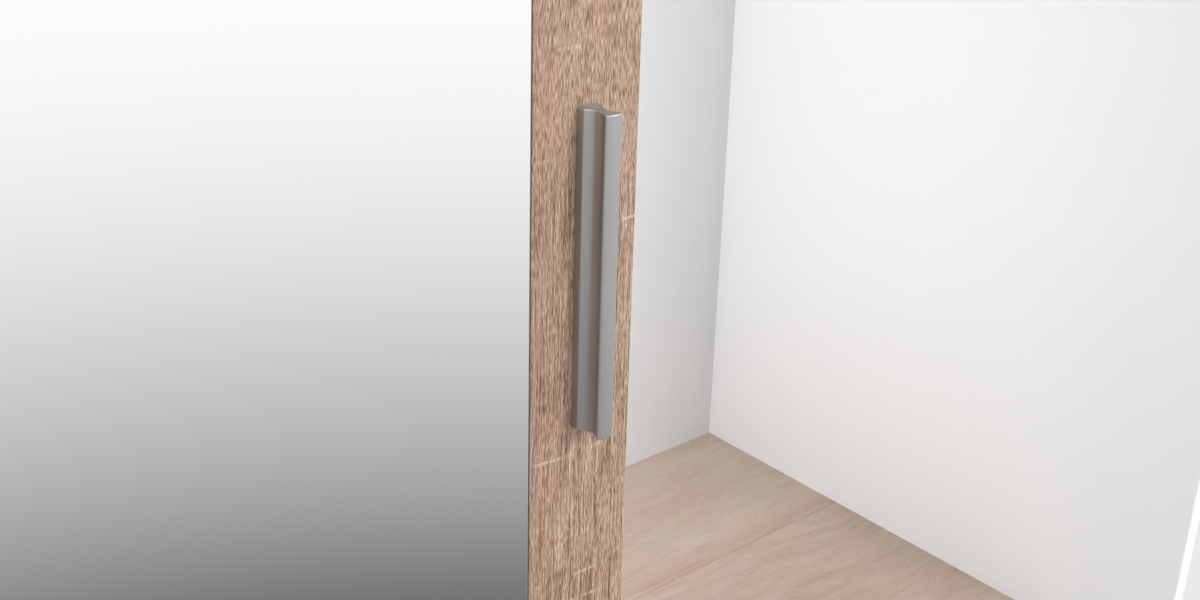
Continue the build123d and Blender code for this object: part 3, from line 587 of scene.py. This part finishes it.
doorFixings = {
    "earReach": 0.0275,      # from a wheel's axle to the screws of its housing
    "earPlate": 0.005,
    "guideReach": 0.011,     # from a top guide's middle to its screws
    "guideHalf": 0.022,
    "guidePlate": 0.004,
    "handleReach": 0.080,
}
for side in ("left", "right"):
    low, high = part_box(side + "_hardware_screws")
    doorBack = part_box(side + "_door_board")[1].y
    reach, face = doorFixings["earReach"], doorBack + doorFixings["earPlate"]
    ears = [(middleOf(f"{side}_{end}_wheel").x + step * reach, face, low.z + headRadius)
            for end in ("outer", "inner") for step in (-1, 1)]
    first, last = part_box(side + "_top_guides")
    half, reach = doorFixings["guideHalf"], doorFixings["guideReach"]
    guides = [(x + step * reach, doorBack + doorFixings["guidePlate"], high.z - headRadius)
              for x in (first.x + half, last.x - half) for step in (-1, 1)]
    out = [(0, 1, 0)] * 4
    sets = [turnedSet(earScrew, ears, out, cross=screwCross),
            turnedSet(guideScrew, guides, out, cross=screwCross)]
    addHardware(side + "_hardware_screw_set", side + "_door", sets, side + "_hardware_screws")
    middle = middleOf(side + "_handle_screws")
    heads = [(middle.x, doorBack, middle.z + step * doorFixings["handleReach"]) for step in (-1, 1)]
    addHardware(side + "_handle_screw_set", side + "_door",
                [turnedSet(handleScrew, heads, out[:2], cross=screwCross)], side + "_handle_screws")

# Nails that hold the back panels to the edges of the boards, about every hand's width
nailing = {"pitch": 0.15, "edge": 0.004, "endsUpright": 0.05, "endsLevel": 0.07, "drift": 0.0016}
places = []
for side in ("left", "right"):
    low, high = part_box(side + "_back_panel")
    levels = [low.z + nailing["edge"], high.z - nailing["edge"]]
    if side == "right":
        levels += [middleOf("lower_shelf").z, middleOf("hat_shelf").z]
    for x in (low.x + nailing["edge"], high.x - nailing["edge"]):
        count = round((high.z - low.z) / nailing["pitch"])
        inset = nailing["endsUpright"]
        places += [(x, high.y, z) for z in np.linspace(low.z + inset, high.z - inset, count)]
    for z in levels:
        count = round((high.x - low.x) / nailing["pitch"])
        inset = nailing["endsLevel"]
        places += [(x, high.y, z) for x in np.linspace(low.x + inset, high.x - inset, count)]
drift = np.random.default_rng(3).uniform(-1, 1, (len(places), 3)) * nailing["drift"] * (1, 0, 1)
places = np.array(places) + drift
addHardware("back_panel_nails", "carcass", [turnedSet(nail, places, [(0, 1, 0)] * len(places), columns=14)])
print("hardware made:", len(places), "nails and the screws with cross recesses")


# Bar handle, millimetres: a section of tangent arcs (rounded shoulders, a finger groove in each side,
# rounded flange edges, a crowned face) carried up Z, and drawn in along a quarter circle at both ends
barHandle = {
    "halfBase": 6.4,
    "shoulderRound": 1.7,
    "grooveRadius": 9.2,
    "grooveHeight": 12.7,    # groove's centre above the door's face
    "halfWaist": 2.5,
    "edgeRound": 1.3,
    "crownRadius": 12.0,
    "endRound": 0.8,
    "endRows": 6,
}


def arc(centre, radius, first, last, count):
    # Points and outward normals round a centre; a hollow arc, with a radius below 0, has them turned about
    start, stop = (math.atan2(way[1], way[0]) for way in (first, last))
    angle = np.linspace(start, start + math.remainder(stop - start, 2 * math.pi), count)
    normal = np.stack([np.cos(angle), np.sin(angle)], -1)
    return centre + abs(radius) * normal, math.copysign(1, radius) * normal


def handleSection(height):
    half, shoulder, groove = barHandle["halfBase"], barHandle["shoulderRound"], barHandle["grooveRadius"]
    edge, crown = barHandle["edgeRound"], barHandle["crownRadius"]
    hollow = np.array((barHandle["halfWaist"] + groove, barHandle["grooveHeight"]))
    top = np.array((0.0, height - crown))
    # Shoulder's centre: its radius inside the flank, and both radii away from the groove's centre
    inside = half - shoulder
    drop = math.sqrt((groove + shoulder) ** 2 - (hollow[0] - inside) ** 2)
    low = np.array((inside, hollow[1] - drop))
    # Edge's centre: where circles round the groove's and the crown's centres cross
    span = top - hollow
    far = np.hypot(*span)
    step = ((groove + edge) ** 2 - (crown - edge) ** 2 + far ** 2) / (2 * far)
    side = math.sqrt((groove + edge) ** 2 - step ** 2)
    along = span / far
    high = hollow + along * step + np.array((along[1], -along[0])) * side
    runs = [
        (np.array([(half, 0.0)]), np.array([(1.0, 0.0)])),
        arc(low, shoulder, (1, 0), hollow - low, 8),
        arc(hollow, -groove, -(hollow - low), -(hollow - high), 28),
        arc(high, edge, hollow - high, high - top, 12),
        arc(top, crown, high - top, (0, 1), 14),
    ]
    points, normals = (np.concatenate(part) for part in zip(*runs))
    flip = np.array((-1, 1))
    return np.concatenate([points * flip, points[-2::-1]]), np.concatenate([normals * flip, normals[-2::-1]])


def addHandle(side):
    low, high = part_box(side + "_handle")
    points, normals = handleSection((high.y - low.y) * 1000)
    turn = np.linspace(0, np.pi / 2, barHandle["endRows"])
    inset = barHandle["endRound"] * (1 - np.cos(turn[::-1]))
    rise = barHandle["endRound"] * (1 - np.sin(turn[::-1])) * 0.001
    inset = np.concatenate([inset, inset[::-1]])[:, None, None]
    z = np.concatenate([low.z + rise, high.z - rise[::-1]])
    flat = (points - normals * inset) * 0.001
    place = np.stack([(low.x + high.x) / 2 + flat[..., 0], high.y - flat[..., 1],
                      np.broadcast_to(z[:, None], flat.shape[:2])], -1)
    rows, columns = place.shape[:2]
    row, column = np.meshgrid(np.arange(rows - 1) * columns, np.arange(columns), indexing="ij")
    after = (column + 1) % columns
    quads = np.stack([row + column, row + after, row + after + columns, row + column + columns], -1)
    ring = np.arange(columns)
    caps = [ring[::-1].tolist(), (ring + (rows - 1) * columns).tolist()]
    mesh = bpy.data.meshes.new(side + "_handle_bar")
    mesh.from_pydata(place.reshape(-1, 3).tolist(), [], quads.reshape(-1, 4).tolist() + caps)
    mesh.shade_smooth()
    mesh.set_sharp_from_angle(angle=math.radians(40))
    mesh.materials.append(finishes["handle_metal"])
    piece = bpy.data.objects.new(side + "_handle_bar", mesh)
    bpy.context.scene.collection.objects.link(piece)
    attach(piece, side + "_door")
    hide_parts(side + "_handle")


for side in ("left", "right"):
    addHandle(side)
print("handles made")


# Stage: a pale floor that fades to white away from the wardrobe; to mirror and metal it is an emitted glow
# with painted shade, dim near the wardrobe and brighter away from it
stage = {
    "reach": 40.0,
    "floor": (232, 232, 231),
    "middle": (-0.42, 0.25),
    "fadeStart": 1.69,       # metres from the middle
    "fadeRate": 0.88,
    "nearest": 0.15,         # brightness at the middle
    "white": (1.5, 4.2),     # distances between which the floor turns white to the eye
}


def studioFloor():
    reach = stage["reach"]
    corners = np.array([(-reach, -reach, 0), (reach, -reach, 0), (reach, reach, 0), (-reach, reach, 0)])
    mesh = bpy.data.meshes.new("studio_floor")
    mesh.from_pydata(corners.tolist(), [], [(0, 1, 2, 3)])
    floor = bpy.data.objects.new("studio_floor", mesh)
    bpy.context.scene.collection.objects.link(floor)
    material = bpy.data.materials.new("studio_floor")
    material.use_nodes = True
    tree = material.node_tree
    tree.nodes.clear()
    wire = Wire(tree)
    x, y, _ = wire.node("ShaderNodeTexCoord", out="Object").apart()
    out = (x * x + y * y).math("SQRT")
    x, y = (place - middle for place, middle in zip((x, y), stage["middle"]))
    away = (x * x + y * y).math("SQRT")
    # 1 - e^(-rate (distance - start)), the brightness that mirror and metal meet in the floor: painted shade,
    # dim near the wardrobe and rising away from it
    paintedShadeGlow = 1 - ((away - stage["fadeStart"]) * -stage["fadeRate"]).math("EXPONENT")
    paintedShadeGlow = paintedShadeGlow.math("SMOOTH_MAX", stage["nearest"], 0.12)
    # The floor glows for glossy and transmission rays with this painted shade instead of being lit
    shine = wire.node("ShaderNodeEmission", {"Color": (1, 1, 1, 1), "Strength": paintedShadeGlow})
    matte = wire.node("ShaderNodeBsdfDiffuse", {"Color": tone(*stage["floor"])})
    seen = wire.node("ShaderNodeLightPath", out="Is Glossy Ray")
    seen = seen.math("MAXIMUM", wire.node("ShaderNodeLightPath", out="Is Transmission Ray"))
    both = wire.node("ShaderNodeMixShader", {0: seen, 1: matte, 2: shine})
    white = wire.node("ShaderNodeEmission", {"Color": (1, 1, 1, 1), "Strength": 1.0})
    looked = wire.node("ShaderNodeLightPath", out="Is Camera Ray") * out.rise(*stage["white"])
    both = wire.node("ShaderNodeMixShader", {0: looked, 1: both, 2: white})
    output = tree.nodes.new("ShaderNodeOutputMaterial")
    tree.links.new(both.socket, output.inputs[0])
    floor.data.materials.append(material)


studioFloor()


# Light: an even white surround, a soft key in front a little to the right, a weaker fill to the left, a
# high small one that catches edges, two for the sides and the back, and a long weak one hidden inside
# the open compartment
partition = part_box("centre_partition")[1]
lamps = {
    "key": {"at": (1.0, -3.5, 2.6), "to": (0.1, -0.3, 1.0), "size": (1.2, 1.2), "watts": 72.0},
    "rim": {"at": (2.4, -2.2, 3.9), "to": (0.0, -0.3, 1.0), "size": (0.7, 0.7), "watts": 18.0,
            "shines": True},
    "fill": {"at": (-0.75, -3.7, 2.2), "to": (0.1, -0.3, 1.0), "size": (0.9, 0.9), "watts": 21.0},
    "left": {"at": (-3.6, 1.5, 2.4), "to": (0.0, 0.0, 1.0), "size": (2.0, 2.0), "watts": 60.0},
    "right": {"at": (3.6, 1.5, 2.4), "to": (0.0, 0.0, 1.0), "size": (2.0, 2.0), "watts": 54.0},
    "inside": {"at": (partition.x + 0.02, 0.06, 1.03), "to": (1.0, 0.06, 1.03), "size": (0.34, 1.86),
               "watts": 3.8},
}
surround = {"toObject": 0.38, "toEye": 1.0}


def studioLight():
    world = bpy.data.worlds.new("studio")
    bpy.context.scene.world = world
    world.use_nodes = True
    tree = world.node_tree
    tree.nodes.clear()
    wire = Wire(tree)
    seen = wire.node("ShaderNodeLightPath", out="Is Camera Ray")
    for ray in ("Is Glossy Ray", "Is Transmission Ray"):
        seen = seen.math("MAXIMUM", wire.node("ShaderNodeLightPath", out=ray))
    strength = seen * (surround["toEye"] - surround["toObject"]) + surround["toObject"]
    back = wire.node("ShaderNodeBackground", {"Color": (1, 1, 1, 1), "Strength": strength})
    output = tree.nodes.new("ShaderNodeOutputWorld")
    tree.links.new(back.socket, output.inputs[0])
    for name, lamp in lamps.items():
        data = bpy.data.lights.new(name, "AREA")
        data.shape = "RECTANGLE"
        data.size, data.size_y = lamp["size"]
        data.energy = lamp["watts"]
        light = bpy.data.objects.new(name, data)
        toward = Vector(lamp["to"]) - Vector(lamp["at"])
        aim = toward.to_track_quat("-Z", "Y").to_matrix().to_4x4()
        light.matrix_world = Matrix.Translation(lamp["at"]) @ aim
        light.visible_glossy = lamp.get("shines", False)     # whether mirror and metal show it
        bpy.context.scene.collection.objects.link(light)


studioLight()
print("stage and light set")


# Camera: where the photograph was taken from
eye = {
    "at": (-0.4227, -0.8253, 1.3214),
    "yaw": 40.95,            # degrees to the right of straight ahead
    "pitch": 23.69,          # degrees down
    "roll": 1.58,
    "focalPixels": 1525.3,
    "framePixels": 1200,
    "sensor": 36.0,
}


def photoCamera():
    data = bpy.data.cameras.new("photo_eye")
    data.sensor_width = eye["sensor"]
    data.lens = eye["sensor"] * eye["focalPixels"] / eye["framePixels"]
    data.clip_start = 0.01
    camera = bpy.data.objects.new("photo_eye", data)
    turn = Matrix.Rotation(math.radians(-eye["yaw"]), 4, "Z")
    tilt = Matrix.Rotation(math.radians(90.0 - eye["pitch"]), 4, "X")
    lean = Matrix.Rotation(math.radians(eye["roll"]), 4, "Z")
    camera.matrix_world = Matrix.Translation(eye["at"]) @ turn @ tilt @ lean
    bpy.context.scene.collection.objects.link(camera)
    bpy.context.scene.camera = camera


photoCamera()
bpy.context.scene.view_settings.view_transform = "Standard"
print("camera set")
